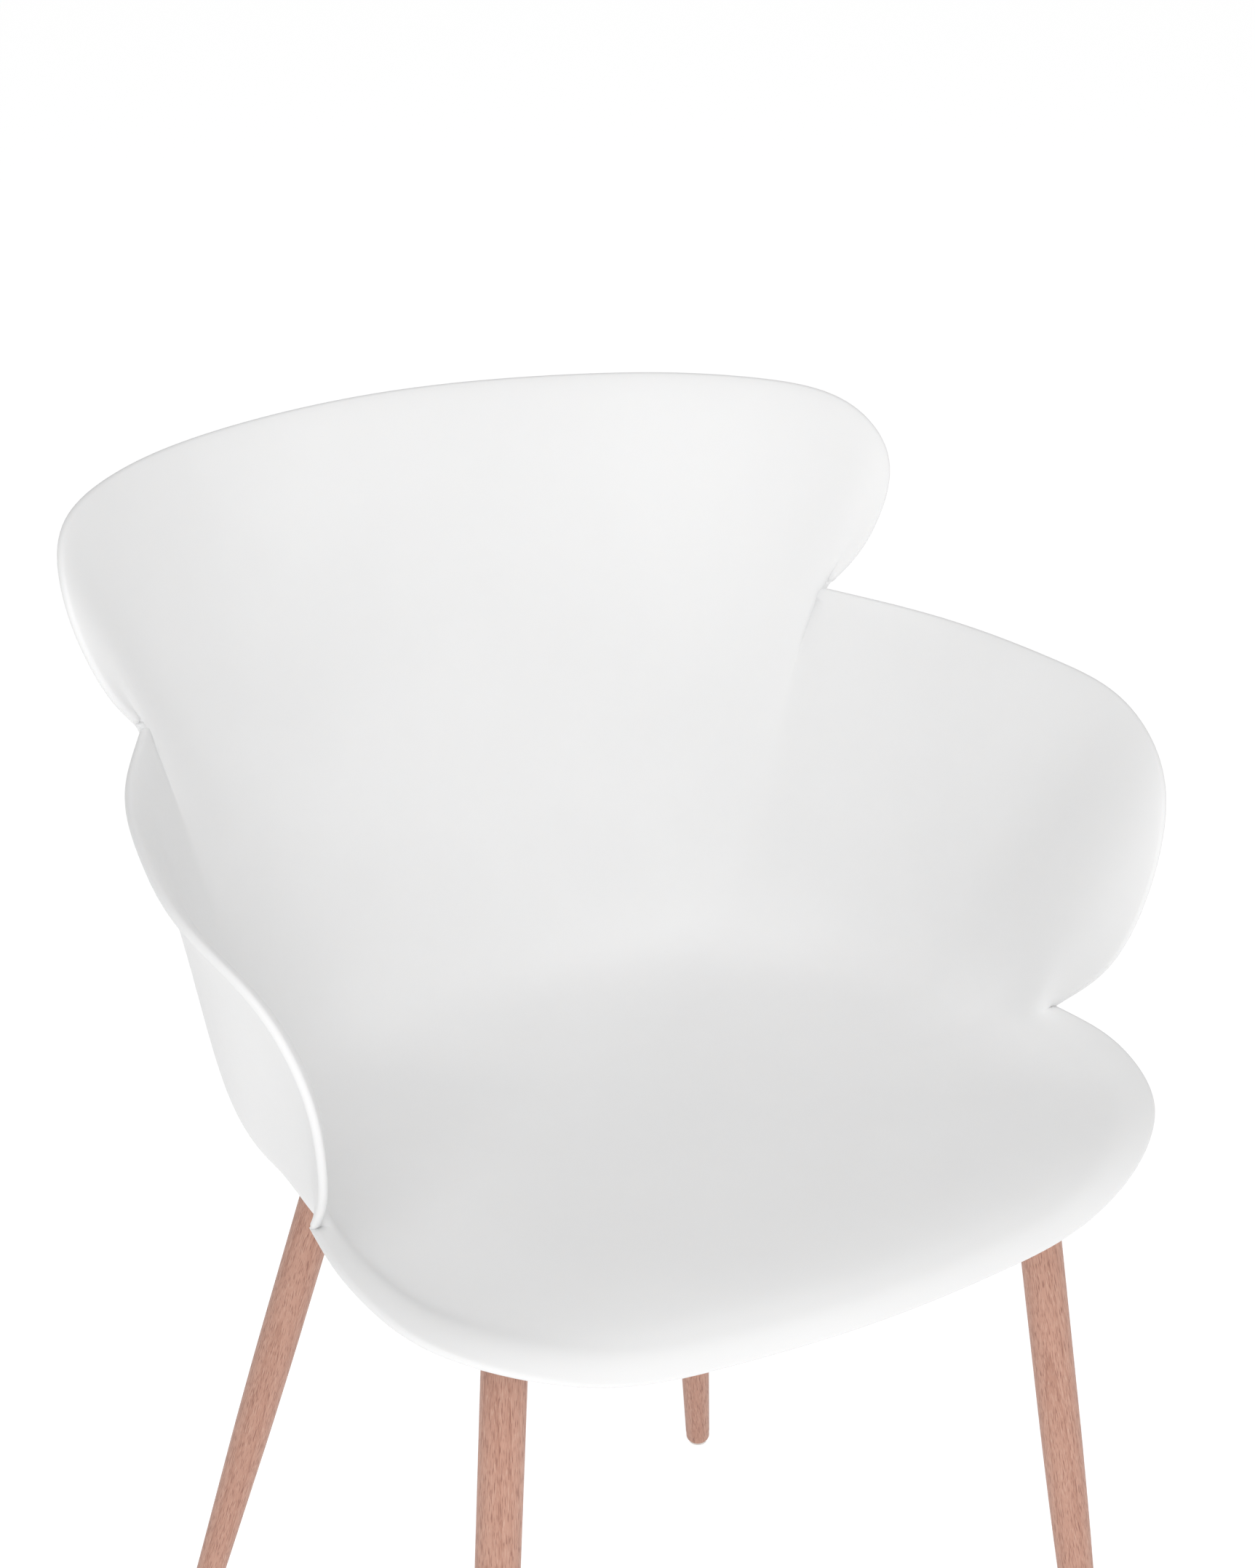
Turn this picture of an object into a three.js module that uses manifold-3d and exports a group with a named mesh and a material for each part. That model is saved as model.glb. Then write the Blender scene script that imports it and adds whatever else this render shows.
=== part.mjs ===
import * as THREE from "three";
import { NURBSCurve } from "three/addons/curves/NURBSCurve.js";
import { mergeVertices } from "three/addons/utils/BufferGeometryUtils.js";
import Module from "manifold-3d";

const wasm = await Module();
wasm.setup();

// All sizes are millimetres. X runs across the chair, -Y is its front and +Z is up.

// ---- Driving dimensions: the seat shell --------------------------------------------------
const SHELL_THICKNESS = 5;
const SEAT_HEIGHT = 420; // middle of the seat's wall, at the middle of the chair
const SEAT_RISE = 0.03; // how much the seat climbs towards its front, per millimetre
const SEAT_MIDDLE = -25; // y of the point the shell's columns fan out from

// The right half of the shell from front centre to back centre. Each row is rim x, y, z, then a
// point x, y, z that draws out the wall below it, then x, y of the fold where the seat turns up,
// how far the fold stands above the seat's plane, and the lip's flare.
const STATIONS = [
  [0, -259, 397, 0, -250, 411, 0, -237, -7, 4],
  [80, -254, 397, 76, -245, 411, 73, -232, -7, 4],
  [150, -246, 401, 143, -235, 414, 139, -221, -5, 4],
  [204, -231, 417, 194, -213, 425, 188, -197, -2, 4],
  [243, -200, 433, 226, -180, 433, 215, -162, 2, 4],
  [255, -150, 447, 236, -137, 440, 223, -121, 5, 3],
  [248, -99, 452, 237, -104, 447, 224, -82, 8, 0], // front notch
  [261, -138, 493, 244, -90, 462, 229, -64, 8, 9],
  [275, -154, 557, 249, -72, 480, 230, -46, 8, 13],
  [291, -139, 604, 253, -52, 497, 230, -26, 8, 14],
  [306, -82, 632, 256, -24, 509, 230, 0, 8, 14],
  [296, -20, 642, 249, 14, 516, 223, 30, 7, 13],
  [273, 52, 650, 233, 58, 521, 206, 64, 6, 8],
  [231, 120, 658, 205, 107, 528, 178, 96, 5, 0], // back notch
  [257, 108, 690, 189, 131, 540, 160, 117, 5, 4],
  [275, 110, 739, 168, 149, 552, 139, 133, 4, 7],
  [263, 143, 771, 143, 164, 562, 112, 147, 4, 9],
  [208, 194, 782, 104, 178, 568, 80, 156, 4, 9],
  [120, 238, 785, 56, 189, 571, 42, 162, 4, 9],
  [0, 256, 787, 0, 193, 572, 0, 165, 4, 9],
];
const FRONT_NOTCH = 6; // row numbers in STATIONS
const BACK_NOTCH = 13;
const SEAT_REACH = 0.72; // the flat of the seat, as a share of the way out to the fold
const LIP_REACH = 22; // how far in from the rim the lip starts to flare
const NOTCH_REACH = { least: 9, growth: 0.8 }; // the same at a notch, and per millimetre from it
const LIP_SLANT = 0.6; // how much the lip runs down to the wall rather than square to the rim
const COLUMNS = 3; // columns of the shell between two stations
const RINGS = [0.15, 0.27, 0.37, 0.45, 0.51, 0.57, 0.63, 0.7, 0.78, 0.87, 0.94, 1]; // centre to rim
const EDGE_STEPS = 3;

// ---- Driving dimensions: the bosses and their fixings ---------------------------------------
const GAP = 0.3; // left between pieces that touch
const BOSS_DIAMETER = 22;
const BOSS_BOTTOM = 408;
const BOSS_ALONG_FRONT = 110; // how far along its bar each boss sits from the middle of the frame
const BOSS_ALONG_REAR = 95;
const INSERT_DIAMETER = 9;
const INSERT_LENGTH = 9;
const SCREW_DIAMETER = 6;
const SCREW_TIP = 416.4;
const SCREW_HEAD = { diameter: 11, height: 4, socket: 4, depth: 2.2 };
const WASHER = { diameter: 14, thickness: 1.4 };
const SPACER = { diameter: 18, thickness: 2.9 };

// ---- Driving dimensions: the steel frame ----------------------------------------------------
const BAR_BOTTOM = 390.3;
const BAR = { width: 25, height: 14, wall: 2, corner: 3 };
const BAR_OUTER_END = 24; // from the leg's axis
const BAR_INNER_END = 20; // from the middle of the frame
const CAP = { flange: 2.5, plug: 9 };
const PLATE = { width: 34, thickness: 3, half: 18, tongue: 36, corner: 9, hole: 9 };
const HUB = { side: 96, corner: 14, thickness: 3 };

// ---- Driving dimensions: the legs -----------------------------------------------------------
// Where each leg's axis meets the floor, and where it passes through the height TOP_HEIGHT.
const TOP_HEIGHT = 400;
const LEGS = [
  { name: "front_left", foot: [-220, -211], top: [-177, -174], along: BOSS_ALONG_FRONT },
  { name: "front_right", foot: [220, -211], top: [177, -174], along: BOSS_ALONG_FRONT },
  { name: "rear_left", foot: [-199, 199], top: [-120, 107], along: BOSS_ALONG_REAR },
  { name: "rear_right", foot: [199, 199], top: [120, 107], along: BOSS_ALONG_REAR },
];
const FOOT_RADIUS = 8.2;
const KNEE_RADIUS = 12;
const TOP_RADIUS = 12.5;
const KNEE_AT = 0.45; // share of the leg's length, from the foot
const FOOT_ROUNDING = 3.5;
const FOOT_HEIGHT = 3.6; // of the middle of the foot's end above the floor
const HANGER_BOLT = { diameter: 8, above: 12, below: 44, tip: 3 }; // from the plate's top face
const NUT = { across: 13, height: 6.5 };
const BIG_WASHER = { diameter: 17, thickness: 1.6 };
const GLIDE_RADIUS = 6;
const NAIL = { diameter: 2.4, above: 14, below: 1.2 }; // from the foot's end
const ROUND_STEPS = 20; // facets around turned pieces
const SMALL_STEPS = 12;


// ---- The shell ----------------------------------------------------------------------------
const mirrored = ([x, y, z, wallX, wallY, wallZ, foldX, ...rest]) =>
  [-x, y, z, -wallX, wallY, wallZ, -foldX, ...rest];
const vector = (p) => new THREE.Vector3(...p);

// Every station once, counter-clockwise from the left front notch.
function stationRing() {
  const left = STATIONS.slice(1, -1).reverse().map(mirrored);
  const ring = [...STATIONS, ...left];
  const start = ring.length - FRONT_NOTCH;
  return [...ring.slice(start), ...ring.slice(0, start)];
}

// One petal's rim, sampled COLUMNS times between its stations, without its last point.
function petal(points) {
  const curve = new THREE.CatmullRomCurve3(points.map((p) => vector(p.slice(0, 3))));
  const steps = (points.length - 1) * COLUMNS;
  return Array.from({ length: steps }, (_, i) => curve.getPoint(i / steps));
}

function rimRing(ring) {
  const seat = 2 * FRONT_NOTCH;
  const arm = BACK_NOTCH - FRONT_NOTCH;
  const back = 2 * (STATIONS.length - 1 - BACK_NOTCH);
  const ends = [0, seat, seat + arm, seat + arm + back, ring.length];
  const closed = [...ring, ring[0]];
  return ends.slice(1).flatMap((end, i) => petal(closed.slice(ends[i], end + 1)));
}

// A closed ring through points, sampled COLUMNS times between them.
function ringThrough(points) {
  const curve = new THREE.CatmullRomCurve3(points, true);
  const count = points.length * COLUMNS;
  return Array.from({ length: count }, (_, i) => curve.getPoint(i / count));
}

// A ring with each value drawn a little towards its neighbours.
function smoothed(ring, passes = 1) {
  let now = ring;
  for (let pass = 0; pass < passes; pass++)
    now = now.map((p, i) => {
      const before = now[(i + now.length - 1) % now.length];
      const after = now[(i + 1) % now.length];
      return p.clone().multiplyScalar(2).add(before).add(after).multiplyScalar(0.25);
    });
  return now;
}

// The direction of a ring at one of its points.
function directionAt(ring, i) {
  const count = ring.length;
  return ring[(i + 1) % count].clone().sub(ring[(i + count - 1) % count]).normalize();
}

// Where the lip starts below each rim point: in from the rim, and set back from the flare.
function lipStarts(rim, wall, notches, lips) {
  const square = rim.map((p, i) => directionAt(wall, i).cross(p.clone().sub(wall[i])).normalize());
  const outward = smoothed(square).map((v) => v.normalize());
  const slanted = rim.map((p, i) => {
    const down = wall[i].clone().sub(p).normalize();
    return directionAt(rim, i).cross(outward[i]).normalize().addScaledVector(down, LIP_SLANT);
  });
  const inward = smoothed(slanted, 3).map((v) => v.normalize());
  const starts = rim.map((p, i) => {
    const fromNotch = Math.min(...notches.map((notch) => notch.distanceTo(p)));
    const atNotch = NOTCH_REACH.least + NOTCH_REACH.growth * fromNotch;
    const reach = Math.min(LIP_REACH, atNotch, p.distanceTo(wall[i]) / 2);
    return p.clone().addScaledVector(inward[i], reach).addScaledVector(outward[i], -lips[i]);
  });
  return smoothed(starts);
}

const seatHeightAt = (y) => SEAT_HEIGHT - SEAT_RISE * y;

// The middle of the shell's wall from the seat's middle up to one rim point.
function profile(fold, wall, lipStart, rim) {
  const centre = new THREE.Vector3(0, SEAT_MIDDLE, seatHeightAt(SEAT_MIDDLE));
  const seat = centre.clone().lerp(fold, SEAT_REACH);
  seat.z = seatHeightAt(seat.y);
  const points = [centre, seat, fold, wall, lipStart, rim];
  const knots = [0, 0, 0, 0, 1, 2, 3, 3, 3, 3];
  return new NURBSCurve(3, knots, points.map((p) => new THREE.Vector4(p.x, p.y, p.z, 1)));
}

function shellColumns() {
  const ring = stationRing();
  const rim = rimRing(ring);
  const walls = ringThrough(ring.map((row) => vector(row.slice(3, 6))));
  const foldHeight = (y, dish) => seatHeightAt(y) + dish;
  const folds = ringThrough(ring.map((row) => vector([row[6], row[7], foldHeight(row[7], row[8])])));
  const lips = ringThrough(ring.map((row) => vector([row[6], row[7], row[9]]))).map((p) => p.z);
  const notchRows = [STATIONS[FRONT_NOTCH], STATIONS[BACK_NOTCH]];
  const notches = [...notchRows, ...notchRows.map(mirrored)].map((row) => vector(row.slice(0, 3)));
  const starts = lipStarts(rim, walls, notches, lips);
  return rim.map((point, i) => {
    const curve = profile(folds[i], walls[i], starts[i], point);
    return RINGS.map((t) => curve.getPoint(t));
  });
}

// The shell as one closed sheet: top face, rounded rim and underside.
function shellGeometry() {
  const columns = shellColumns();
  const count = columns.length;
  const last = RINGS.length - 1;
  const centre = new THREE.Vector3(0, SEAT_MIDDLE, seatHeightAt(SEAT_MIDDLE));
  const at = (i, k) => (k < 0 ? centre : columns[(i + count) % count][Math.min(k, last)]);
  const half = SHELL_THICKNESS / 2;
  const up = new THREE.Vector3(0, 0, half);
  const vertices = [centre.clone().add(up), centre.clone().sub(up)];
  for (let i = 0; i < count; i++) {
    const sections = columns[i].map((p, k) => {
      const along = at(i, k + 1).clone().sub(at(i, k - 1)).normalize();
      const around = at(i + 1, k).clone().sub(at(i - 1, k)).normalize();
      const normal = along.cross(around).normalize();
      return { p, normal, around };
    });
    const face = (side) =>
      sections.map(({ p, normal }) => p.clone().addScaledVector(normal, side * half));
    const { p, normal, around } = sections[last];
    const edge = [];
    for (let step = 1; step < EDGE_STEPS; step++) {
      const turn = (Math.PI * step) / EDGE_STEPS;
      const out = around.clone().cross(normal).normalize();
      const point = p.clone().addScaledVector(normal, half * Math.cos(turn));
      edge.push(point.addScaledVector(out, half * Math.sin(turn)));
    }
    vertices.push(...face(1), ...edge, ...face(-1).reverse());
  }
  const rows = 2 * RINGS.length + EDGE_STEPS - 1;
  const index = (i, row) => 2 + (i % count) * rows + row;
  const faces = [];
  for (let i = 0; i < count; i++) {
    faces.push(0, index(i, 0), index(i + 1, 0));
    faces.push(1, index(i + 1, rows - 1), index(i, rows - 1));
    for (let row = 0; row + 1 < rows; row++) {
      faces.push(index(i, row), index(i, row + 1), index(i + 1, row + 1));
      faces.push(index(i, row), index(i + 1, row + 1), index(i + 1, row));
    }
  }
  const geometry = new THREE.BufferGeometry();
  const flat = vertices.flatMap((v) => [v.x, v.y, v.z]);
  geometry.setAttribute("position", new THREE.Float32BufferAttribute(flat, 3));
  geometry.setIndex(faces);
  return geometry;
}

// ---- Helpers for solids -------------------------------------------------------------------
const Z = new THREE.Vector3(0, 0, 1);

function solid(geometry) {
  const bare = geometry.clone();
  bare.deleteAttribute("normal");
  bare.deleteAttribute("uv");
  const merged = mergeVertices(bare, 1e-4);
  const vertProperties = Float32Array.from(merged.attributes.position.array);
  const triVerts = Uint32Array.from(merged.index.array);
  return new wasm.Manifold(new wasm.Mesh({ numProp: 3, vertProperties, triVerts }));
}

function surface(body) {
  const mesh = body.getMesh();
  const geometry = new THREE.BufferGeometry();
  geometry.setAttribute("position", new THREE.BufferAttribute(mesh.vertProperties, 3));
  geometry.setIndex(new THREE.BufferAttribute(mesh.triVerts, 1));
  return geometry;
}

const cut = (geometry, ...tools) =>
  surface(tools.reduce((body, tool) => body.subtract(solid(tool)), solid(geometry)));

// A body turned about Z from [radius, height] points.
function turned(points, steps = SMALL_STEPS) {
  const outline = points.map(([radius, height]) => new THREE.Vector2(radius, height));
  return new THREE.LatheGeometry(outline, steps).rotateX(Math.PI / 2);
}

const rod = (radius, from, to, steps) =>
  turned([[0, from], [radius, from], [radius, to], [0, to]], steps);

function tube(inside, outside, from, to, steps) {
  const points = [[inside, from], [outside, from], [outside, to], [inside, to], [inside, from]];
  return turned(points, steps);
}

function roundedRectangle(width, height, corner, Kind = THREE.Shape) {
  const [x, y, outline] = [width / 2 - corner, height / 2 - corner, new Kind()];
  outline.moveTo(x, -height / 2);
  outline.absarc(x, -y, corner, -Math.PI / 2, 0);
  outline.absarc(x, y, corner, 0, Math.PI / 2);
  outline.absarc(-x, y, corner, Math.PI / 2, Math.PI);
  outline.absarc(-x, -y, corner, Math.PI, 1.5 * Math.PI);
  return outline;
}

const extruded = (shape, depth, curveSegments = 3) =>
  new THREE.ExtrudeGeometry(shape, { depth, curveSegments, bevelEnabled: false });

// ---- Where each leg and its bar lie ---------------------------------------------------------
function legFrame({ foot, top }) {
  const run = new THREE.Vector3(top[0] - foot[0], top[1] - foot[1], TOP_HEIGHT);
  const axis = run.clone().normalize();
  const inward = new THREE.Vector3(run.x, run.y, 0).normalize();
  const tilt = Math.acos(axis.z);
  const height = BAR_BOTTOM - GAP + PLATE.half * Math.sin(tilt);
  const seat = new THREE.Vector3(foot[0], foot[1], 0).addScaledVector(run, height / TOP_HEIGHT);
  return { axis, inward, tilt, seat };
}

// From a piece drawn about Z, with the top of the leg's plate at its origin, to its leg.
const ontoLeg = ({ axis, seat }, geometry) =>
  geometry.applyQuaternion(new THREE.Quaternion().setFromUnitVectors(Z, axis)).translate(...seat);

// From a piece drawn along X from the leg's axis towards the middle, to its bar.
function ontoBar({ inward, seat }, geometry) {
  return geometry.rotateZ(Math.atan2(inward.y, inward.x)).translate(seat.x, seat.y, 0);
}

const barLength = ({ inward, seat }) => Math.abs(seat.x / inward.x); // to the chair's middle

function bossPlace(leg) {
  const frame = legFrame(leg);
  const run = barLength(frame) - leg.along;
  return [frame.seat.x + frame.inward.x * run, frame.seat.y + frame.inward.y * run];
}

// ---- Pieces ---------------------------------------------------------------------------------
function seatShell() {
  const bosses = LEGS.map((leg) => {
    const [x, y] = bossPlace(leg);
    return rod(BOSS_DIAMETER / 2, BOSS_BOTTOM, seatHeightAt(y), ROUND_STEPS).translate(x, y, 0);
  });
  const joined = bosses.reduce((body, boss) => body.add(solid(boss)), solid(shellGeometry()));
  const depth = INSERT_LENGTH + 2 * GAP;
  const holes = LEGS.map((leg) => {
    const hole = rod(INSERT_DIAMETER / 2 + GAP, BOSS_BOTTOM - 1, BOSS_BOTTOM + depth);
    return hole.translate(...bossPlace(leg), 0);
  });
  return surface(holes.reduce((body, hole) => body.subtract(solid(hole)), joined));
}

function threadedInsert() {
  const bottom = BOSS_BOTTOM + GAP;
  return tube(SCREW_DIAMETER / 2 + GAP, INSERT_DIAMETER / 2, bottom, bottom + INSERT_LENGTH);
}

function seatScrew() {
  const radius = SCREW_DIAMETER / 2;
  const head = SCREW_HEAD.diameter / 2;
  const top = BAR_BOTTOM - WASHER.thickness - 2 * GAP;
  const bottom = top - SCREW_HEAD.height;
  const body = turned([
    [0, bottom], [head - 1.5, bottom], [head, bottom + 1.5], [head, top],
    [radius, top], [radius, SCREW_TIP - 1], [radius - 1, SCREW_TIP], [0, SCREW_TIP],
  ]);
  const socket = rod(SCREW_HEAD.socket / Math.sqrt(3), bottom - 1, bottom + SCREW_HEAD.depth, 6);
  return cut(body, socket);
}

function seatWasher() {
  const top = BAR_BOTTOM - GAP;
  return tube(SCREW_DIAMETER / 2 + GAP, WASHER.diameter / 2, top - WASHER.thickness, top);
}

function seatSpacer() {
  const bottom = BAR_BOTTOM + BAR.height + GAP;
  const top = bottom + SPACER.thickness;
  return tube(SCREW_DIAMETER / 2 + GAP, SPACER.diameter / 2, bottom, top, ROUND_STEPS);
}

function frameBar(leg) {
  const frame = legFrame(leg);
  const outline = roundedRectangle(BAR.height, BAR.width, BAR.corner);
  const inside = [BAR.height - 2 * BAR.wall, BAR.width - 2 * BAR.wall, BAR.corner / 2];
  outline.holes.push(roundedRectangle(...inside, THREE.Path));
  const length = barLength(frame) - BAR_INNER_END - BAR_OUTER_END;
  const bar = extruded(outline, length, 2).rotateY(Math.PI / 2);
  bar.translate(BAR_OUTER_END, 0, BAR_BOTTOM + BAR.height / 2);
  const hole = rod(SCREW_DIAMETER / 2 + 0.5, BAR_BOTTOM - 1, BAR_BOTTOM + BAR.height + 1);
  hole.translate(barLength(frame) - leg.along, 0, 0);
  return ontoBar(frame, cut(bar, hole));
}

function barCap(leg) {
  const inside = (size) => size - 2 * BAR.wall - 2 * GAP;
  const flange = extruded(roundedRectangle(BAR.height, BAR.width, BAR.corner), CAP.flange, 2);
  const plug = extruded(roundedRectangle(inside(BAR.height), inside(BAR.width), 1), CAP.plug, 1);
  const joined = surface(solid(flange).add(solid(plug.translate(0, 0, CAP.flange - 0.1))));
  joined.rotateY(Math.PI / 2);
  joined.translate(BAR_OUTER_END - CAP.flange - GAP, 0, BAR_BOTTOM + BAR.height / 2);
  return ontoBar(legFrame(leg), joined);
}

// The bent plate: a pad square to the leg, and a tongue under the bar.
function legPlate(leg) {
  const frame = legFrame(leg);
  const { half, tongue, thickness, width, corner } = PLATE;
  const [sin, cos] = [Math.sin(frame.tilt), Math.cos(frame.tilt)];
  const level = BAR_BOTTOM - GAP;
  const bend = [half * cos, level];
  const outer = [-half * cos, level + 2 * half * sin];
  const lean = frame.tilt / 2;
  const under = thickness / Math.cos(lean);
  const side = new THREE.Shape([
    new THREE.Vector2(...outer),
    new THREE.Vector2(outer[0] - thickness * sin, outer[1] - thickness * cos),
    new THREE.Vector2(bend[0] - under * Math.sin(lean), bend[1] - under * Math.cos(lean)),
    new THREE.Vector2(bend[0] + tongue, level - thickness),
    new THREE.Vector2(bend[0] + tongue, level),
    new THREE.Vector2(...bend),
  ]);
  const sheet = extruded(side, width).translate(0, 0, -width / 2).rotateX(Math.PI / 2);
  const reach = 2 * half * cos + tongue;
  const plan = extruded(roundedRectangle(reach, width, corner), 2 * TOP_HEIGHT, 4);
  plan.translate(reach / 2 - half * cos - thickness * sin, 0, 0);
  const plate = ontoBar(frame, surface(solid(sheet).intersect(solid(plan))));
  return cut(plate, ontoLeg(frame, rod(PLATE.hole / 2, -2 * thickness, 2 * thickness)));
}

function frameHub() {
  const middle = LEGS.map((leg) => {
    const frame = legFrame(leg);
    return frame.seat.y + frame.inward.y * barLength(frame);
  }).reduce((sum, y) => sum + y / LEGS.length, 0);
  const plate = extruded(roundedRectangle(HUB.side, HUB.side, HUB.corner), HUB.thickness, 4);
  return plate.rotateZ(Math.PI / 4).translate(0, middle, BAR_BOTTOM - GAP - HUB.thickness);
}

// A turned leg, drawn with its foot at -length and a blind hole at each end.
function turnedLeg(leg) {
  const frame = legFrame(leg);
  const top = -PLATE.thickness - GAP;
  const foot = -(frame.seat.z - FOOT_HEIGHT) / frame.axis.z;
  const up = (share) => foot + (top - foot) * share;
  const pin = NAIL.diameter / 2 + GAP;
  const bolt = HANGER_BOLT.diameter / 2 + GAP;
  const depth = -HANGER_BOLT.below - 2 * GAP;
  const points = [
    [0, foot + NAIL.above + GAP], [pin, foot + NAIL.above + GAP], [pin, foot],
    [FOOT_RADIUS - FOOT_ROUNDING, foot], [FOOT_RADIUS - 1.6, foot + 0.6],
    [FOOT_RADIUS - 0.4, foot + 2], [FOOT_RADIUS, foot + FOOT_ROUNDING],
    [KNEE_RADIUS - 0.5, up(KNEE_AT - 0.06)], [KNEE_RADIUS, up(KNEE_AT)],
    [KNEE_RADIUS + 0.2, up(KNEE_AT + 0.1)],
    [TOP_RADIUS, top - 1.5], [TOP_RADIUS - 1.5, top],
    [bolt, top], [bolt, depth], [0, depth - HANGER_BOLT.tip],
  ];
  return ontoLeg(frame, turned(points, ROUND_STEPS));
}

function hangerBolt(leg) {
  const { diameter, above, below, tip } = HANGER_BOLT;
  const radius = diameter / 2;
  const outline = [
    [0, -below], [radius, tip - below], [radius, above - 1], [radius - 1, above], [0, above],
  ];
  return ontoLeg(legFrame(leg), turned(outline));
}

function bigWasher(leg) {
  const hole = HANGER_BOLT.diameter / 2 + GAP;
  const ring = tube(hole, BIG_WASHER.diameter / 2, GAP, GAP + BIG_WASHER.thickness);
  return ontoLeg(legFrame(leg), ring);
}

function hexNut(leg) {
  const bottom = BIG_WASHER.thickness + 2 * GAP;
  const body = rod(NUT.across / Math.sqrt(3), bottom, bottom + NUT.height, 6);
  return ontoLeg(legFrame(leg), cut(body, rod(HANGER_BOLT.diameter / 2 + GAP, 0, 2 * NUT.height)));
}

// A disc square to the leg on top and flat on the floor below.
function glide(leg) {
  const frame = legFrame(leg);
  const foot = -(frame.seat.z - FOOT_HEIGHT) / frame.axis.z;
  const top = foot - GAP;
  const body = ontoLeg(frame, rod(GLIDE_RADIUS, top - 1, top, ROUND_STEPS));
  const place = body.attributes.position;
  const p = new THREE.Vector3();
  for (let i = 0; i < place.count; i++) {
    p.fromBufferAttribute(place, i);
    const height = p.clone().sub(frame.seat).dot(frame.axis);
    if (height < top - 0.5) p.addScaledVector(frame.axis, -p.z / frame.axis.z);
    place.setXYZ(i, ...p);
  }
  const pin = rod(NAIL.diameter / 2 + GAP, top - NAIL.below, top + 1);
  return cut(body, ontoLeg(frame, pin));
}

function glideNail(leg) {
  const frame = legFrame(leg);
  const foot = -(frame.seat.z - FOOT_HEIGHT) / frame.axis.z;
  const [from, to] = [foot - NAIL.below, foot + NAIL.above];
  const radius = NAIL.diameter / 2;
  return ontoLeg(frame, turned([[0, from], [radius, from], [radius, to - 3], [0, to]], 8));
}

// ---- The chair ------------------------------------------------------------------------------
const MATERIALS = {
  shell: new THREE.MeshStandardMaterial({ color: 0xf2f2f0, roughness: 0.45 }),
  beech: new THREE.MeshStandardMaterial({ color: 0xc99a86, roughness: 0.6 }),
  frame: new THREE.MeshStandardMaterial({ color: 0x1c1c1c, roughness: 0.6 }),
  steel: new THREE.MeshStandardMaterial({ color: 0xb8babc, roughness: 0.35, metalness: 1 }),
  brass: new THREE.MeshStandardMaterial({ color: 0xb5933f, roughness: 0.35, metalness: 1 }),
  plastic: new THREE.MeshStandardMaterial({ color: 0x1a1a1a, roughness: 0.6 }),
  glide: new THREE.MeshStandardMaterial({ color: 0xdcdcd8, roughness: 0.5 }),
};

const chair = new THREE.Group();

function add(name, geometry, material) {
  const mesh = new THREE.Mesh(geometry, MATERIALS[material]);
  mesh.name = name;
  chair.add(mesh);
}

add("seat_shell", seatShell(), "shell");
add("frame_hub", frameHub(), "frame");
for (const leg of LEGS) {
  const atBoss = (geometry) => geometry.translate(...bossPlace(leg), 0);
  add(`insert_${leg.name}`, atBoss(threadedInsert()), "brass");
  add(`seat_screw_${leg.name}`, atBoss(seatScrew()), "steel");
  add(`seat_washer_${leg.name}`, atBoss(seatWasher()), "steel");
  add(`seat_spacer_${leg.name}`, atBoss(seatSpacer()), "plastic");
  add(`frame_bar_${leg.name}`, frameBar(leg), "frame");
  add(`bar_cap_${leg.name}`, barCap(leg), "plastic");
  add(`leg_plate_${leg.name}`, legPlate(leg), "frame");
  add(`leg_${leg.name}`, turnedLeg(leg), "beech");
  add(`hanger_bolt_${leg.name}`, hangerBolt(leg), "steel");
  add(`leg_washer_${leg.name}`, bigWasher(leg), "steel");
  add(`leg_nut_${leg.name}`, hexNut(leg), "steel");
  add(`glide_${leg.name}`, glide(leg), "glide");
  add(`glide_nail_${leg.name}`, glideNail(leg), "steel");
}

// The chair stands with its overall box centred over the origin.
const box = new THREE.Box3().setFromObject(chair, true);
chair.position.set(0, -(box.min.y + box.max.y) / 2, -box.min.z);

export default chair;
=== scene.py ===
import math

import bmesh
import bpy
import numpy as np
from mathutils import Matrix, Vector


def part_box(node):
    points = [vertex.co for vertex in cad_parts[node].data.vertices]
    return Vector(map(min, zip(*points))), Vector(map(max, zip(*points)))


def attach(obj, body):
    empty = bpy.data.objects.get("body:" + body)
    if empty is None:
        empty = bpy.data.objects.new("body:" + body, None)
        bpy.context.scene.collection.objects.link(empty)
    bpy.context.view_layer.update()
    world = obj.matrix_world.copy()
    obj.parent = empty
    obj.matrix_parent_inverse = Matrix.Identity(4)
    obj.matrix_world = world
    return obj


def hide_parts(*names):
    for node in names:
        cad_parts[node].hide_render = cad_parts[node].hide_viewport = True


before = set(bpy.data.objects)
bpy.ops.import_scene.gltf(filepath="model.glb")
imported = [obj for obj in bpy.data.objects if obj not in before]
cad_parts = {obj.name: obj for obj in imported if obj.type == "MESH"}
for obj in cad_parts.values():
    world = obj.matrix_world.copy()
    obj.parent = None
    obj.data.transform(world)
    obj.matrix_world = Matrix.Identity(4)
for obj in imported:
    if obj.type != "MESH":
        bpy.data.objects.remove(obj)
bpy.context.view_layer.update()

MM = 0.001
BODY = "root"
LEGS = ("front_left", "front_right", "rear_left", "rear_right")


# ---- Meshes ---------------------------------------------------------------------------------
def new_piece(name, vertices, faces, slot, node=None, sharp=35):
    """A shown piece in the row frame, in metres, smooth except where faces meet sharply."""
    mesh = bpy.data.meshes.new(name)
    mesh.from_pydata([tuple(v) for v in vertices], [], faces)
    return finished_piece(name, mesh, slot, node, sharp)


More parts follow.
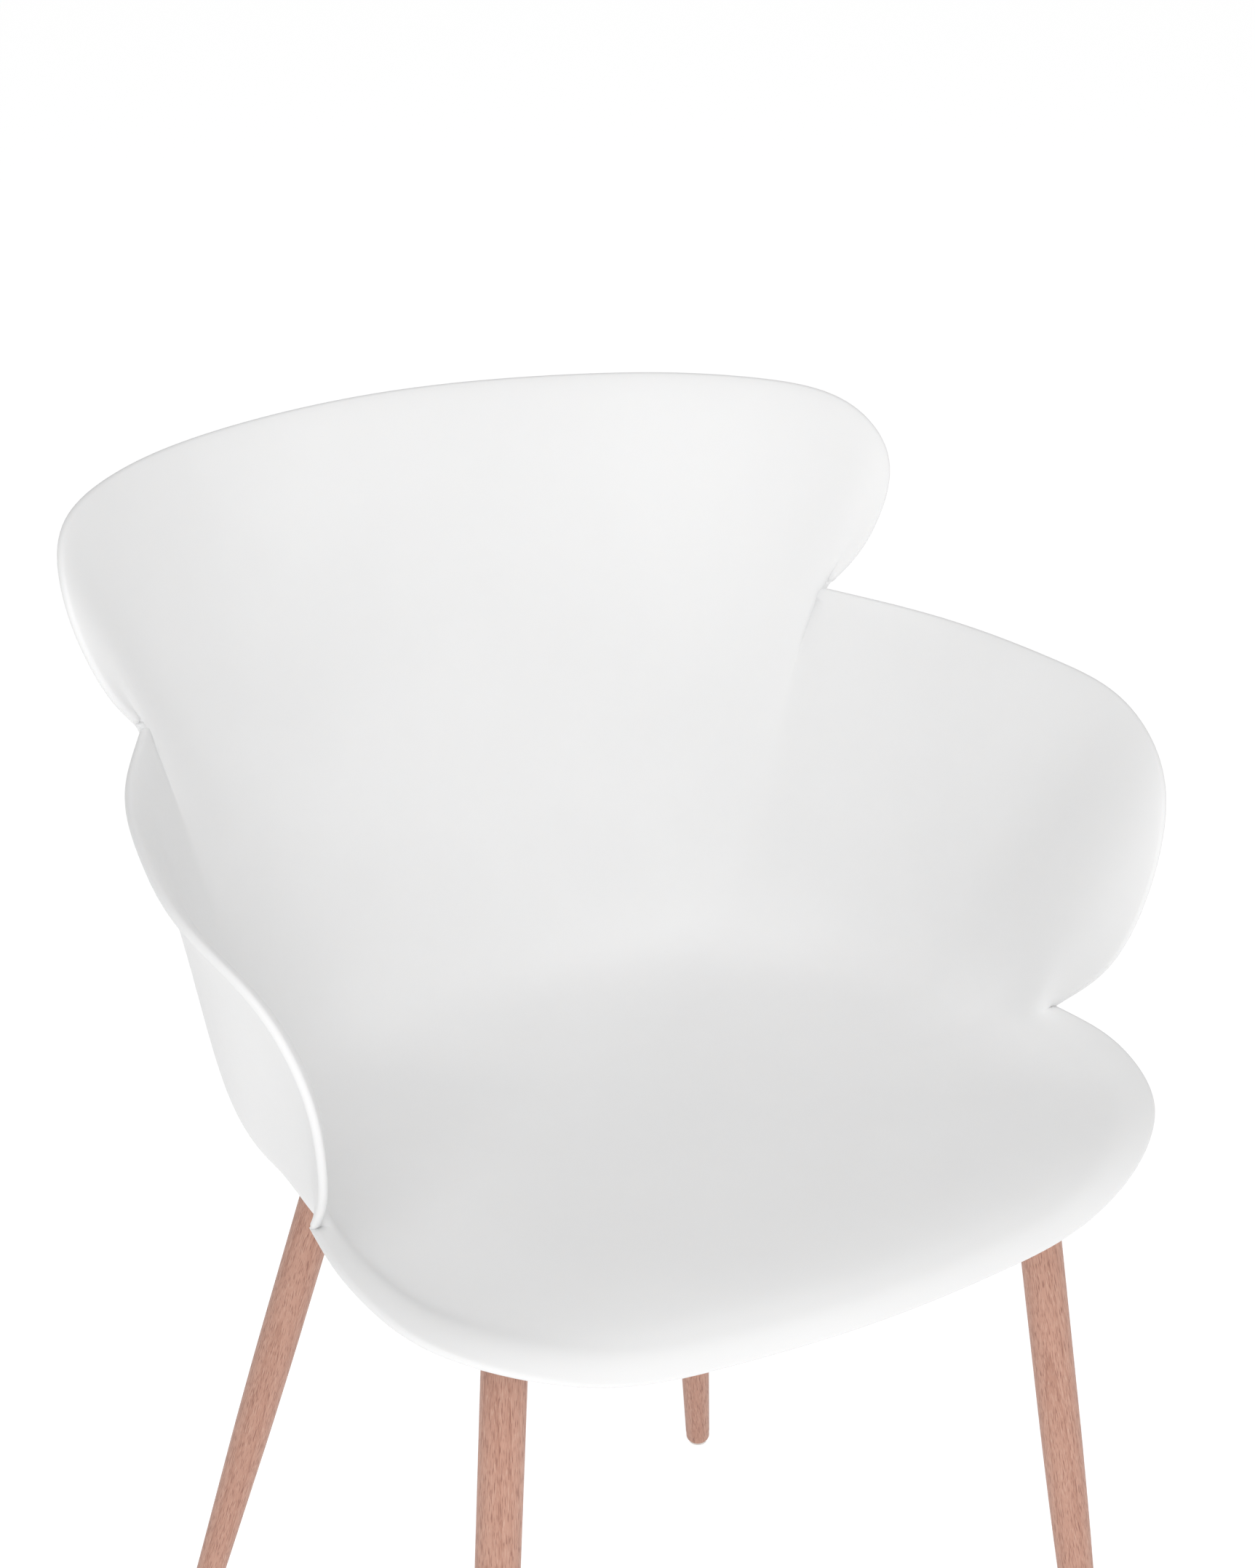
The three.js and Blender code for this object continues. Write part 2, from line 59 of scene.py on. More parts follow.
def finished_piece(name, mesh, slot, node=None, sharp=35):
    """The same, from a mesh. It stands for a CAD node, if one is named."""
    mesh.validate()
    tidy = bmesh.new()
    tidy.from_mesh(mesh)
    bmesh.ops.remove_doubles(tidy, verts=tidy.verts, dist=1e-7)
    bmesh.ops.recalc_face_normals(tidy, faces=tidy.faces)
    tidy.to_mesh(mesh)
    tidy.free()
    mesh.shade_smooth()
    mesh.set_sharp_from_angle(angle=math.radians(sharp))
    piece = bpy.data.objects.new(name, mesh)
    bpy.context.collection.objects.link(piece)
    mesh.materials.append(MATERIALS[slot])
    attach(piece, BODY)
    if node:
        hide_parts(node)
    return piece


def ring_faces(rows, columns, closed_rows=False):
    """Quads between rows of points, each row closed on itself."""
    faces = []
    for row in range(rows if closed_rows else rows - 1):
        below, above = row * columns, (row + 1) % rows * columns
        for i in range(columns):
            j = (i + 1) % columns
            faces.append((below + i, below + j, above + j, above + i))
    return faces


def turned(outline, place, segments=48, shape=None):
    """Vertices and faces of a body turned about Z from (radius, height) points.

    It closes at both ends if the outline reaches the axis there, and on itself otherwise.
    shape(row, angles) may give the radius round one row instead of a plain circle.
    """
    angles = np.arange(segments) * 2 * math.pi / segments
    vertices = []
    for row, (radius, height) in enumerate(outline):
        reach = shape(row, angles) if shape else np.full(segments, radius)
        for angle, r in zip(angles, reach):
            vertices.append(place @ Vector((r * math.cos(angle), r * math.sin(angle), height)))
    open_ends = outline[0][0] < 1e-9 and outline[-1][0] < 1e-9
    return vertices, ring_faces(len(outline), segments, closed_rows=not open_ends)


def rounded(points, radius, steps=5, closed=False):
    """(x, y) points with the corners between them turned into arcs.

    radius is one number, or one for each point.
    """
    radii = [radius] * len(points) if isinstance(radius, (int, float)) else radius
    result = []
    for i, point in enumerate(points):
        ends = not closed and i in (0, len(points) - 1)
        if ends or not radii[i]:
            result.append(tuple(point))
            continue
        corner = Vector(point)
        before = Vector(points[i - 1]) - corner
        after = Vector(points[(i + 1) % len(points)]) - corner
        half = before.angle(after) / 2
        reach = min(radii[i] / math.tan(half), before.length / 2, after.length / 2)
        bow = reach * math.tan(half)
        towards_centre = (before.normalized() + after.normalized()).normalized()
        centre = corner + towards_centre * (bow / math.sin(half))
        start = corner + before.normalized() * reach - centre
        sweep = start.angle_signed(corner + after.normalized() * reach - centre)
        for step in range(steps + 1):
            turn = Matrix.Rotation(-sweep * step / steps, 2)
            result.append(tuple(centre + turn @ start))
    return result


def joined(*parts):
    """Several (vertices, faces) pairs as one."""
    vertices, faces = [], []
    for more_vertices, more_faces in parts:
        shift = len(vertices)
        vertices += list(more_vertices)
        faces += [tuple(i + shift for i in face) for face in more_faces]
    return vertices, faces


def rectangle(width, height):
    """Corners of a rectangle about the origin, counter-clockwise."""
    x, y = width / 2, height / 2
    return [(-x, -y), (x, -y), (x, y), (-x, y)]


# ---- Places, read from the frame --------------------------------------------------------------
def points_of(node):
    """The vertices of a CAD node, in the row frame."""
    return np.array([v.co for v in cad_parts[node].data.vertices])


def middle(node):
    low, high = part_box(node)
    return (low + high) / 2


def line_of(leg):
    """(foot, axis) of a leg: where its axis meets the floor, and its direction up."""
    glide = points_of(f"glide_{leg}")
    foot = Vector(glide[glide[:, 2] < 1e-5].mean(axis=0))
    return foot, (middle(f"leg_nut_{leg}") - foot).normalized()


def leg_place(leg):
    """The matrix from a piece drawn about Z with its foot at the origin to its leg."""
    foot, axis = line_of(leg)
    return Matrix.Translation(foot) @ Vector((0, 0, 1)).rotation_difference(axis).to_matrix().to_4x4()


def span(node, place, direction=(0, 0, 1)):
    """Lowest and highest place of a node's vertices along a direction of a placed frame."""
    back = np.array(place.inverted())
    local = points_of(node) @ back[:3, :3].T + back[:3, 3]
    reach = local @ np.array(direction)
    return reach.min(), reach.max()


def bar_place(leg):
    """The matrix whose X runs level from a leg's plate to the middle of the chair."""
    axis = line_of(leg)[1]
    inward = Vector((axis.x, axis.y, 0)).normalized()
    up = Vector((0, 0, 1))
    turn = Matrix((inward, up.cross(inward), up)).transposed().to_4x4()
    plate = leg_place(leg) @ Vector((0, 0, span(f"leg_washer_{leg}", leg_place(leg))[0]))
    return Matrix.Translation((plate.x, plate.y, 0)) @ turn


def screw_place(leg):
    centre = middle(f"seat_washer_{leg}")
    return Matrix.Translation((centre.x, centre.y, 0))


# ---- Materials --------------------------------------------------------------------------------
def shader(name, roughness, metallic=0.0):
    """A new material's node tree and its principled shader."""
    made = bpy.data.materials.new(name)
    made.use_nodes = True
    nodes = made.node_tree.nodes
    principled = nodes["Principled BSDF"]
    principled.inputs["Roughness"].default_value = roughness
    principled.inputs["Metallic"].default_value = metallic
    return made, nodes, made.node_tree.links, principled


def noise(tree, vector, scale, detail=3.0, roughness=0.5):
    nodes, links = tree
    node = nodes.new("ShaderNodeTexNoise")
    node.inputs["Scale"].default_value = scale
    node.inputs["Detail"].default_value = detail
    node.inputs["Roughness"].default_value = roughness
    links.new(vector, node.inputs["Vector"])
    return node.outputs["Fac"]


def ramp(tree, value, stops):
    """A colour or grey ramp from (position, colour) stops."""
    nodes, links = tree
    node = nodes.new("ShaderNodeValToRGB")
    while len(node.color_ramp.elements) < len(stops):
        node.color_ramp.elements.new(0.5)
    for element, (position, colour) in zip(node.color_ramp.elements, stops):
        element.position = position
        element.color = (*colour, 1) if len(colour) == 3 else (*colour * 3, 1)
    links.new(value, node.inputs["Fac"])
    return node.outputs["Color"]


def mapped(tree, vector, scale):
    """A vector stretched by a scale along each axis."""
    nodes, links = tree
    node = nodes.new("ShaderNodeMapping")
    node.inputs["Scale"].default_value = scale
    links.new(vector, node.inputs["Vector"])
    return node.outputs["Vector"]


def mixed(tree, share, low, high):
    """low mixed with high, by a share that is a socket or a number."""
    nodes, links = tree
    node = nodes.new("ShaderNodeMix")
    node.data_type = "RGBA"
    for socket, value in ((node.inputs[0], share), (node.inputs[6], low), (node.inputs[7], high)):
        if isinstance(value, bpy.types.NodeSocket):
            links.new(value, socket)
        else:
            socket.default_value = value if isinstance(value, float) else (*value, 1)
    return node.outputs[2]


def bumped(tree, principled, height, strength, distance):
    """Adds a bump under the bumps the shader already has."""
    nodes, links = tree
    node = nodes.new("ShaderNodeBump")
    node.inputs["Strength"].default_value = strength
    node.inputs["Distance"].default_value = distance
    links.new(height, node.inputs["Height"])
    normal = principled.inputs["Normal"]
    if normal.is_linked:
        links.new(normal.links[0].from_socket, node.inputs["Normal"])
    links.new(node.outputs["Normal"], normal)


def object_place(nodes):
    return nodes.new("ShaderNodeTexCoord").outputs["Object"]


def moulded_plastic(name, colour, roughness, grain=0.9, subsurface=0.0):
    """Injection-moulded plastic: faint mottle, fine spark-eroded grain and slow waviness."""
    made, nodes, links, principled = shader(name, roughness)
    tree = (nodes, links)
    place = object_place(nodes)
    darker = tuple(c * 0.975 for c in colour)
    tone = ramp(tree, noise(tree, place, 9, 4), [(0.3, darker), (0.7, colour)])
    links.new(tone, principled.inputs["Base Color"])
    gloss = noise(tree, place, 240, 3)
    levels = [(0.3, (roughness - 0.05,)), (0.7, (roughness + 0.05,))]
    links.new(ramp(tree, gloss, levels), principled.inputs["Roughness"])
    bumped(tree, principled, noise(tree, place, 1700, 2), 0.22 * grain, 0.00006)
    bumped(tree, principled, noise(tree, place, 26, 2), 0.1 * grain, 0.0004)
    principled.inputs["Subsurface Weight"].default_value = subsurface
    principled.inputs["Subsurface Radius"].default_value = (0.006, 0.0055, 0.005)
    principled.inputs["Subsurface Scale"].default_value = 1.0
    principled.inputs["Specular IOR Level"].default_value = 0.25
    return made


def powder_coat(name):
    """Black powder coat: orange-peel bumps and a dull, slightly broken gloss."""
    made, nodes, links, principled = shader(name, 0.55)
    tree = (nodes, links)
    place = object_place(nodes)
    tones = [(0.3, (0.014, 0.014, 0.015)), (0.7, (0.024, 0.024, 0.025))]
    links.new(ramp(tree, noise(tree, place, 60, 4), tones), principled.inputs["Base Color"])
    levels = [(0.3, (0.45,)), (0.7, (0.62,))]
    links.new(ramp(tree, noise(tree, place, 300, 2), levels), principled.inputs["Roughness"])
    bumped(tree, principled, noise(tree, place, 900, 3), 0.5, 0.0001)
    return made


def plated_metal(name, dark, light, roughness):
    """Plated or turned metal: fine circular drag marks and cloudy gloss."""
    made, nodes, links, principled = shader(name, roughness, metallic=1.0)
    tree = (nodes, links)
    place = object_place(nodes)
    tone = ramp(tree, noise(tree, place, 120, 5), [(0.3, dark), (0.7, light)])
    links.new(tone, principled.inputs["Base Color"])
    drag = noise(tree, mapped(tree, place, (300, 300, 4000)), 1, 2)
    levels = [(0.3, (roughness - 0.08,)), (0.7, (roughness + 0.1,))]
    links.new(ramp(tree, drag, levels), principled.inputs["Roughness"])
    bumped(tree, principled, drag, 0.15, 0.00003)
    return made


def beech(name):
    """Steamed beech: soft growth lines, short dark pore dashes and paler flecks beside them.

    Each leg carries its own grain coordinates, in metres, with Z along the leg.
    """
    made, nodes, links, principled = shader(name, 0.5)
    tree = (nodes, links)
    attribute = nodes.new("ShaderNodeAttribute")
    attribute.attribute_name = "grain"
    grain = attribute.outputs["Vector"]

    rings = nodes.new("ShaderNodeTexWave")
    rings.wave_type = "RINGS"
    rings.rings_direction = "Z"
    rings.wave_profile = "SAW"
    rings.inputs["Scale"].default_value = 1
    rings.inputs["Distortion"].default_value = 1.6
    rings.inputs["Detail"].default_value = 1.5
    rings.inputs["Detail Scale"].default_value = 0.5
    links.new(mapped(tree, grain, (58, 58, 11)), rings.inputs["Vector"])
    base = ramp(tree, rings.outputs["Fac"], [
        (0.0, (0.535, 0.292, 0.216)), (0.6, (0.512, 0.274, 0.201)),
        (0.86, (0.460, 0.233, 0.166)), (0.96, (0.385, 0.182, 0.126)), (1.0, (0.525, 0.283, 0.208))])

    cloud = noise(tree, mapped(tree, grain, (90, 90, 14)), 1, 3)
    share = ramp(tree, cloud, [(0.35, (0.1,)), (0.7, (0.5,))])
    base = mixed(tree, share, base, (0.56, 0.322, 0.240))

    fibre = noise(tree, mapped(tree, grain, (2200, 2200, 60)), 1, 2)
    share = ramp(tree, fibre, [(0.35, (0.0,)), (0.75, (0.4,))])
    base = mixed(tree, share, base, (0.43, 0.217, 0.155))

    dashes = noise(tree, mapped(tree, grain, (2300, 2300, 150)), 1, 1, 0.4)
    pores = ramp(tree, dashes, [(0.575, (0.0,)), (0.665, (0.8,))])
    base = mixed(tree, pores, base, (0.27, 0.115, 0.08))
    flecks = ramp(tree, dashes, [(0.32, (0.6,)), (0.38, (0.0,))])
    base = mixed(tree, flecks, base, (0.62, 0.40, 0.31))
    links.new(base, principled.inputs["Base Color"])

    links.new(ramp(tree, fibre, [(0.3, (0.46,)), (0.7, (0.58,))]), principled.inputs["Roughness"])
    hollows = ramp(tree, dashes, [(0.55, (1.0,)), (0.68, (0.0,))])
    bumped(tree, principled, hollows, 0.5, 0.00015)
    bumped(tree, principled, fibre, 0.15, 0.0001)
    principled.inputs["Coat Weight"].default_value = 0.1
    principled.inputs["Coat Roughness"].default_value = 0.35
    return made


MATERIALS = {
    "shell_plastic": moulded_plastic("white_polypropylene", (0.83, 0.83, 0.83), 0.46, subsurface=0.12),
    "beech": beech("beech_wood"),
    "frame_paint": powder_coat("black_powder_coat"),
    "zinc_steel": plated_metal("zinc_plated_steel", (0.5, 0.51, 0.53), (0.66, 0.67, 0.69), 0.34),
    "brass": plated_metal("turned_brass", (0.6, 0.42, 0.17), (0.78, 0.57, 0.27), 0.3),
    "black_plastic": moulded_plastic("black_polyamide", (0.025, 0.025, 0.026), 0.5, grain=1.4),
    "pale_plastic": moulded_plastic("pale_glide_plastic", (0.72, 0.71, 0.68), 0.42),
}

# ---- The seat shell ---------------------------------------------------------------------------
# As in the CAD part: the right half from front centre to back centre. Each row is rim x, y, z,
# then a point x, y, z that draws out the wall below it, then x, y of the fold where the seat
# turns up, the fold's height over the seat's plane and the lip's flare, all in millimetres.
STATIONS = [
    [0, -259, 397, 0, -250, 411, 0, -237, -7, 4],
    [80, -254, 397, 76, -245, 411, 73, -232, -7, 4],
    [150, -246, 401, 143, -235, 414, 139, -221, -5, 4],
    [204, -231, 417, 194, -213, 425, 188, -197, -2, 4],
    [243, -200, 433, 226, -180, 433, 215, -162, 2, 4],
    [255, -150, 447, 236, -137, 440, 223, -121, 5, 3],
    [248, -99, 452, 237, -104, 447, 224, -82, 8, 0],  # front notch
    [261, -138, 493, 244, -90, 462, 229, -64, 8, 9],
    [275, -154, 557, 249, -72, 480, 230, -46, 8, 13],
    [291, -139, 604, 253, -52, 497, 230, -26, 8, 14],
    [306, -82, 632, 256, -24, 509, 230, 0, 8, 14],
    [296, -20, 642, 249, 14, 516, 223, 30, 7, 13],
    [273, 52, 650, 233, 58, 521, 206, 64, 6, 8],
    [231, 120, 658, 205, 107, 528, 178, 96, 5, 0],  # back notch
    [257, 108, 690, 189, 131, 540, 160, 117, 5, 4],
    [275, 110, 739, 168, 149, 552, 139, 133, 4, 7],
    [263, 143, 771, 143, 164, 562, 112, 147, 4, 9],
    [208, 194, 782, 104, 178, 568, 80, 156, 4, 9],
    [120, 238, 785, 56, 189, 571, 42, 162, 4, 9],
    [0, 256, 787, 0, 193, 572, 0, 165, 4, 9],
]
FRONT_NOTCH, BACK_NOTCH = 6, 13  # row numbers in STATIONS
SHELL_THICKNESS = 5
SEAT_HEIGHT, SEAT_RISE, SEAT_MIDDLE, SEAT_REACH = 420, 0.03, -25, 0.72
LIP_REACH, NOTCH_REACH, NOTCH_GROWTH, LIP_SLANT = 22, 9, 0.8, 0.6
COLUMNS = 12  # columns between stations, four times as many as in the CAD part
RINGS = 72
FIRST_RING = 0.12  # inside it, the seat is a plane
EDGE_STEPS = 8
SOFTENING = 16  # blurring passes that do what one pass does in the CAD part
KNOTS = [0, 0, 0, 0, 1, 2, 3, 3, 3, 3]


def catmull_rom(points, closed=True):
    """Centripetal Catmull-Rom curve through points, sampled COLUMNS times a span."""
    if closed:
        points = np.concatenate([points[-1:], points, points[:2]])
    else:
        first, last = 2 * points[0] - points[1], 2 * points[-1] - points[-2]
        points = np.concatenate([[first], points, [last]])
    p0, p1, p2, p3 = points[:-3], points[1:-2], points[2:-1], points[3:]
    pairs = ((p0, p1), (p1, p2), (p2, p3))
    gap = [np.linalg.norm(b - a, axis=1)[:, None] ** 0.5 for a, b in pairs]
    start = (p1 - p0) / gap[0] - (p2 - p0) / (gap[0] + gap[1]) + (p2 - p1) / gap[1]
    end = (p2 - p1) / gap[1] - (p3 - p1) / (gap[1] + gap[2]) + (p3 - p2) / gap[2]
    start, end = start * gap[1], end * gap[1]
    t = (np.arange(COLUMNS) / COLUMNS)[None, :, None]
    p1, p2, start, end = (a[:, None, :] for a in (p1, p2, start, end))
    square = 3 * (p2 - p1) - 2 * start - end
    cube = 2 * (p1 - p2) + start + end
    curve = p1 + start * t + square * t**2 + cube * t**3
    return curve.reshape(-1, points.shape[1])


def blurred(ring, passes=SOFTENING):
    for _ in range(passes):
        ring = (2 * ring + np.roll(ring, 1, axis=0) + np.roll(ring, -1, axis=0)) / 4
    return ring


def unit(vectors):
    return vectors / np.linalg.norm(vectors, axis=-1, keepdims=True)


def around_ring(ring):
    """The direction of a ring at each of its points."""
    return unit(np.roll(ring, -1, axis=0) - np.roll(ring, 1, axis=0))


def station_ring():
    """Every station once, counter-clockwise from the left front notch."""
    right = np.array(STATIONS, float)
    left = right[1:-1][::-1] * [-1, 1, 1, -1, 1, 1, -1, 1, 1, 1]
    return np.roll(np.concatenate([right, left]), FRONT_NOTCH, axis=0)


def rim_ring(ring):
    """The rim petal by petal, with sharp notches between the petals."""
    seat, arm = 2 * FRONT_NOTCH, BACK_NOTCH - FRONT_NOTCH
    back = 2 * (len(STATIONS) - 1 - BACK_NOTCH)
    ends = [0, seat, seat + arm, seat + arm + back, len(ring)]
    closed = np.concatenate([ring, ring[:1]])[:, :3]
    petals = []
    for start, end in zip(ends, ends[1:]):
        petal = catmull_rom(closed[start:end + 1], closed=False)
        petal = np.concatenate([petal, closed[end:end + 1]])
        for _ in range(SOFTENING):
            petal[1:-1] = (2 * petal[1:-1] + petal[:-2] + petal[2:]) / 4
        petals.append(petal[:-1])
    return np.concatenate(petals)


def spline_weights(t, degree=3):
    """Weights of the six control points of a profile at each t from 0 to 1."""
    u = np.clip(t * KNOTS[-1], 0, KNOTS[-1] - 1e-9)
    weights = [((u >= a) & (u < b)).astype(float) for a, b in zip(KNOTS, KNOTS[1:])]
    for d in range(1, degree + 1):
        raised = []
        for i in range(len(weights) - 1):
            left, right = KNOTS[i + d] - KNOTS[i], KNOTS[i + d + 1] - KNOTS[i + 1]
            rise = (u - KNOTS[i]) / left * weights[i] if left else 0
            fall = (KNOTS[i + d + 1] - u) / right * weights[i + 1] if right else 0
            raised.append(rise + fall)
        weights = raised
    return np.array(weights)


def seat_height_at(y):
    return SEAT_HEIGHT - SEAT_RISE * y


def lip_starts(rim, wall, lip):
    """Where the lip starts below each rim point: in from the rim, and set back from the flare."""
    outward = unit(blurred(unit(np.cross(around_ring(wall), rim - wall))))
    down = unit(wall - rim)
    across = unit(np.cross(around_ring(rim), outward))
    inward = unit(blurred(across + down * LIP_SLANT, 3 * SOFTENING))
    notches = np.array([STATIONS[FRONT_NOTCH], STATIONS[BACK_NOTCH]])[:, :3]
    notches = np.concatenate([notches, notches * [-1, 1, 1]])
    from_notch = np.linalg.norm(rim[:, None] - notches, axis=2).min(axis=1)
    to_wall = np.linalg.norm(rim - wall, axis=1)
    reach = np.minimum(np.minimum(LIP_REACH, NOTCH_REACH + NOTCH_GROWTH * from_notch), to_wall / 2)
    return blurred(rim + inward * reach[:, None] - outward * lip)


def shell_middle():
    """The seat's middle, and the middle of the shell's wall as columns of points out to the rim."""
    ring = station_ring()
    rim = rim_ring(ring)
    wall = blurred(catmull_rom(ring[:, 3:6]))
    folds = ring[:, 6:9].copy()
    folds[:, 2] += seat_height_at(folds[:, 1])
    fold = blurred(catmull_rom(folds))
    lip = blurred(catmull_rom(ring[:, [6, 7, 9]]))[:, 2:]

    centre = np.array([0, SEAT_MIDDLE, seat_height_at(SEAT_MIDDLE)])
    seat = centre + (fold - centre) * SEAT_REACH
    seat[:, 2] = seat_height_at(seat[:, 1])
    starts = lip_starts(rim, wall, lip)
    controls = np.stack([np.broadcast_to(centre, rim.shape), seat, fold, wall, starts, rim])
    weights = spline_weights(np.linspace(FIRST_RING, 1, RINGS))
    return centre, np.einsum("cr,cip->irp", weights, controls)


def shell_faces(count, rows):
    """Quads between columns, and a fan to the seat's middle on each face."""
    def at(i, row):
        return 2 + (i % count) * rows + row

    faces = []
    for i in range(count):
        faces.append((0, at(i, 0), at(i + 1, 0)))
        faces.append((1, at(i + 1, rows - 1), at(i, rows - 1)))
        for row in range(rows - 1):
            faces.append((at(i, row), at(i, row + 1), at(i + 1, row + 1), at(i + 1, row)))
    return faces


def shell_surface():
    """The shell's two faces and its rounded rim, in metres, before its bosses."""
    centre, middle_sheet = shell_middle()
    inner = np.concatenate([np.broadcast_to(centre, (len(middle_sheet), 1, 3)), middle_sheet], axis=1)
    along = np.gradient(inner, axis=1)[:, 1:]
    around = (np.roll(middle_sheet, -1, axis=0) - np.roll(middle_sheet, 1, axis=0)) / 2
    normal = unit(np.cross(unit(along), unit(around)))
    half = SHELL_THICKNESS / 2
    top = middle_sheet + normal * half
    under = middle_sheet - normal * half
    out = unit(np.cross(unit(around[:, -1]), normal[:, -1]))
    turns = np.arange(1, EDGE_STEPS) * math.pi / EDGE_STEPS
    edge = middle_sheet[:, -1:] + half * (
        normal[:, -1:] * np.cos(turns)[None, :, None] + out[:, None] * np.sin(turns)[None, :, None])
    columns = np.concatenate([top, edge, under[:, ::-1]], axis=1)
    ends = centre + [[0, 0, half], [0, 0, -half]]
    vertices = np.concatenate([ends, columns.reshape(-1, 3)]) * MM
    vertices[:, 1] += middle("seat_shell").y - (vertices[:, 1].min() + vertices[:, 1].max()) / 2
    return vertices, shell_faces(len(columns), columns.shape[1])


def evaluated_mesh(thing):
    """A mesh of an object with its modifiers or its curve settings applied."""
    bpy.context.view_layer.update()
    return bpy.data.meshes.new_from_object(thing.evaluated_get(bpy.context.evaluated_depsgraph_get()))


def boolean(piece, cutter, operation):
    """Joins or cuts piece with cutter, and removes the cutter."""
    modifier = piece.modifiers.new("boolean", "BOOLEAN")
    modifier.object = cutter
    modifier.operation = operation
    modifier.solver = "EXACT"
    result = evaluated_mesh(piece)
    piece.modifiers.clear()
    piece.data = result
    bpy.data.objects.remove(cutter)


def tool(vertices, faces):
    """A scratch object for a boolean."""
    mesh = bpy.data.meshes.new("tool")
    mesh.from_pydata([tuple(v) for v in vertices], [], faces)
    scratch = bpy.data.objects.new("tool", mesh)
    bpy.context.collection.objects.link(scratch)
    return scratch


BOSS_RADIUS = 11 * MM
BOSS_FILLET = 4 * MM
INSERT_HOLE = 4.8 * MM


def boss(leg):
    """A round boss that flares into the underside of the seat."""
    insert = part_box(f"insert_{leg}")
    bottom = insert[0].z - 0.3 * MM
    root = seat_height_at(middle(f"insert_{leg}").y / MM) * MM - 1 * MM
    foot_radius = BOSS_RADIUS + BOSS_FILLET
    outline = [(0, bottom), (BOSS_RADIUS, bottom), (BOSS_RADIUS, root - BOSS_FILLET),
               (foot_radius, root - 1 * MM), (foot_radius, root), (0, root)]
    outline = rounded(outline, [0, 0.8 * MM, 3 * BOSS_FILLET, 0, 0, 0], steps=8)
    return turned(outline, screw_place(leg), 64)


def seat_shell():
    vertices, faces = shell_surface()
    shell = new_piece("shell_moulding", vertices, faces, "shell_plastic", "seat_shell", sharp=180)
    boolean(shell, tool(*joined(*(boss(leg) for leg in LEGS))), "UNION")
    holes = []
    for leg in LEGS:
        low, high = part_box(f"insert_{leg}")
        mouth = low.z - 2 * MM
        outline = [(0, mouth), (INSERT_HOLE, mouth), (INSERT_HOLE, high.z), (0, high.z)]
        holes.append(turned(outline, screw_place(leg), 32))
    boolean(shell, tool(*joined(*holes)), "DIFFERENCE")
    shell.data.shade_smooth()
    shell.data.set_sharp_from_angle(angle=math.radians(50))
    shell.data.materials.clear()
    shell.data.materials.append(MATERIALS["shell_plastic"])


# ---- The legs and their fixings -----------------------------------------------------------------
FOOT_RADIUS, KNEE_RADIUS, TOP_RADIUS = 8.2 * MM, 12 * MM, 12.5 * MM
KNEE_AT = 0.45
FOOT_ROUNDING, TOP_ROUNDING = 3.5 * MM, 1.5 * MM
PIN_HOLE, BOLT_HOLE = 1.5 * MM, 4.3 * MM
GRAIN_SHIFT = Vector((0.006, 0.011, 0.31))  # metres of wood between one leg's grain and the next
GRAIN_SLANT = 0.05  # how far the grain leans off the leg's axis, in metres a metre


def turned_leg(leg):
    place = leg_place(leg)
    foot, top = span(f"leg_{leg}", place)
    pin_end = span(f"glide_nail_{leg}", place)[1] + 0.3 * MM
    bolt_end = span(f"hanger_bolt_{leg}", place)[0] - 1 * MM
    length = top - foot
    shares = np.linspace(0.01, 0.985, 90)
    shape = np.interp(shares, [0, KNEE_AT - 0.05, KNEE_AT + 0.1, 1],
                      [FOOT_RADIUS, KNEE_RADIUS - 0.45 * MM, KNEE_RADIUS + 0.2 * MM, TOP_RADIUS])
    shape = np.convolve(np.pad(shape, 4, mode="edge"), np.ones(9) / 9, mode="valid")
    side_foot, side_top = foot + 2 * FOOT_ROUNDING, top - 2 * TOP_ROUNDING
    foot_corner = [(PIN_HOLE, foot), (FOOT_RADIUS, foot), (FOOT_RADIUS, side_foot)]
    top_corner = [(TOP_RADIUS, side_top), (TOP_RADIUS, top), (BOLT_HOLE, top)]
    foot_end = rounded(foot_corner, FOOT_ROUNDING, 10)
    top_end = rounded(top_corner, TOP_ROUNDING, 6)
    heights = foot + length * shares
    side = [(r, height) for r, height in zip(shape, heights) if side_foot < height < side_top]
    outline = [(0, pin_end), (PIN_HOLE, pin_end), *foot_end, *side, *top_end,
               (BOLT_HOLE, bolt_end), (0, bolt_end)]
    vertices, faces = turned(outline, Matrix.Identity(4), 72)
    shift = GRAIN_SHIFT * (LEGS.index(leg) + 1)
    grain = [Vector((v.x + GRAIN_SLANT * v.z, v.y, v.z)) + shift for v in vertices]
    mesh = bpy.data.meshes.new(f"leg_turning_{leg}")
    mesh.from_pydata([tuple(place @ v) for v in vertices], [], faces)
    layer = mesh.attributes.new("grain", "FLOAT_VECTOR", "POINT")
    layer.data.foreach_set("vector", [c for v in grain for c in v])
    finished_piece(f"leg_turning_{leg}", mesh, "beech", f"leg_{leg}")


def threaded(radius, pitch, depth, low, high, tip):
    """Outline points and a row shape for a rod with a real helix, from low up to high."""
    rows = max(8, int((high - low) / pitch * 10))
    heights = np.linspace(low, high, rows)
    outline = [(0, low)] + [(radius, h) for h in heights] + [(0, high)]

    def shape(row, angles):
        if row in (0, rows + 1):
            return np.zeros(len(angles))
        height = heights[row - 1]
        turn = (height / pitch - angles / (2 * math.pi)) % 1
        cut = depth * np.abs(2 * turn - 1)
        fade = min(1, (height - low) / tip + 0.25, (high - height) / tip + 0.25)
        return (radius - cut) * min(1, 0.55 + 0.45 * fade) if fade < 1 else radius - cut

    return outline, shape


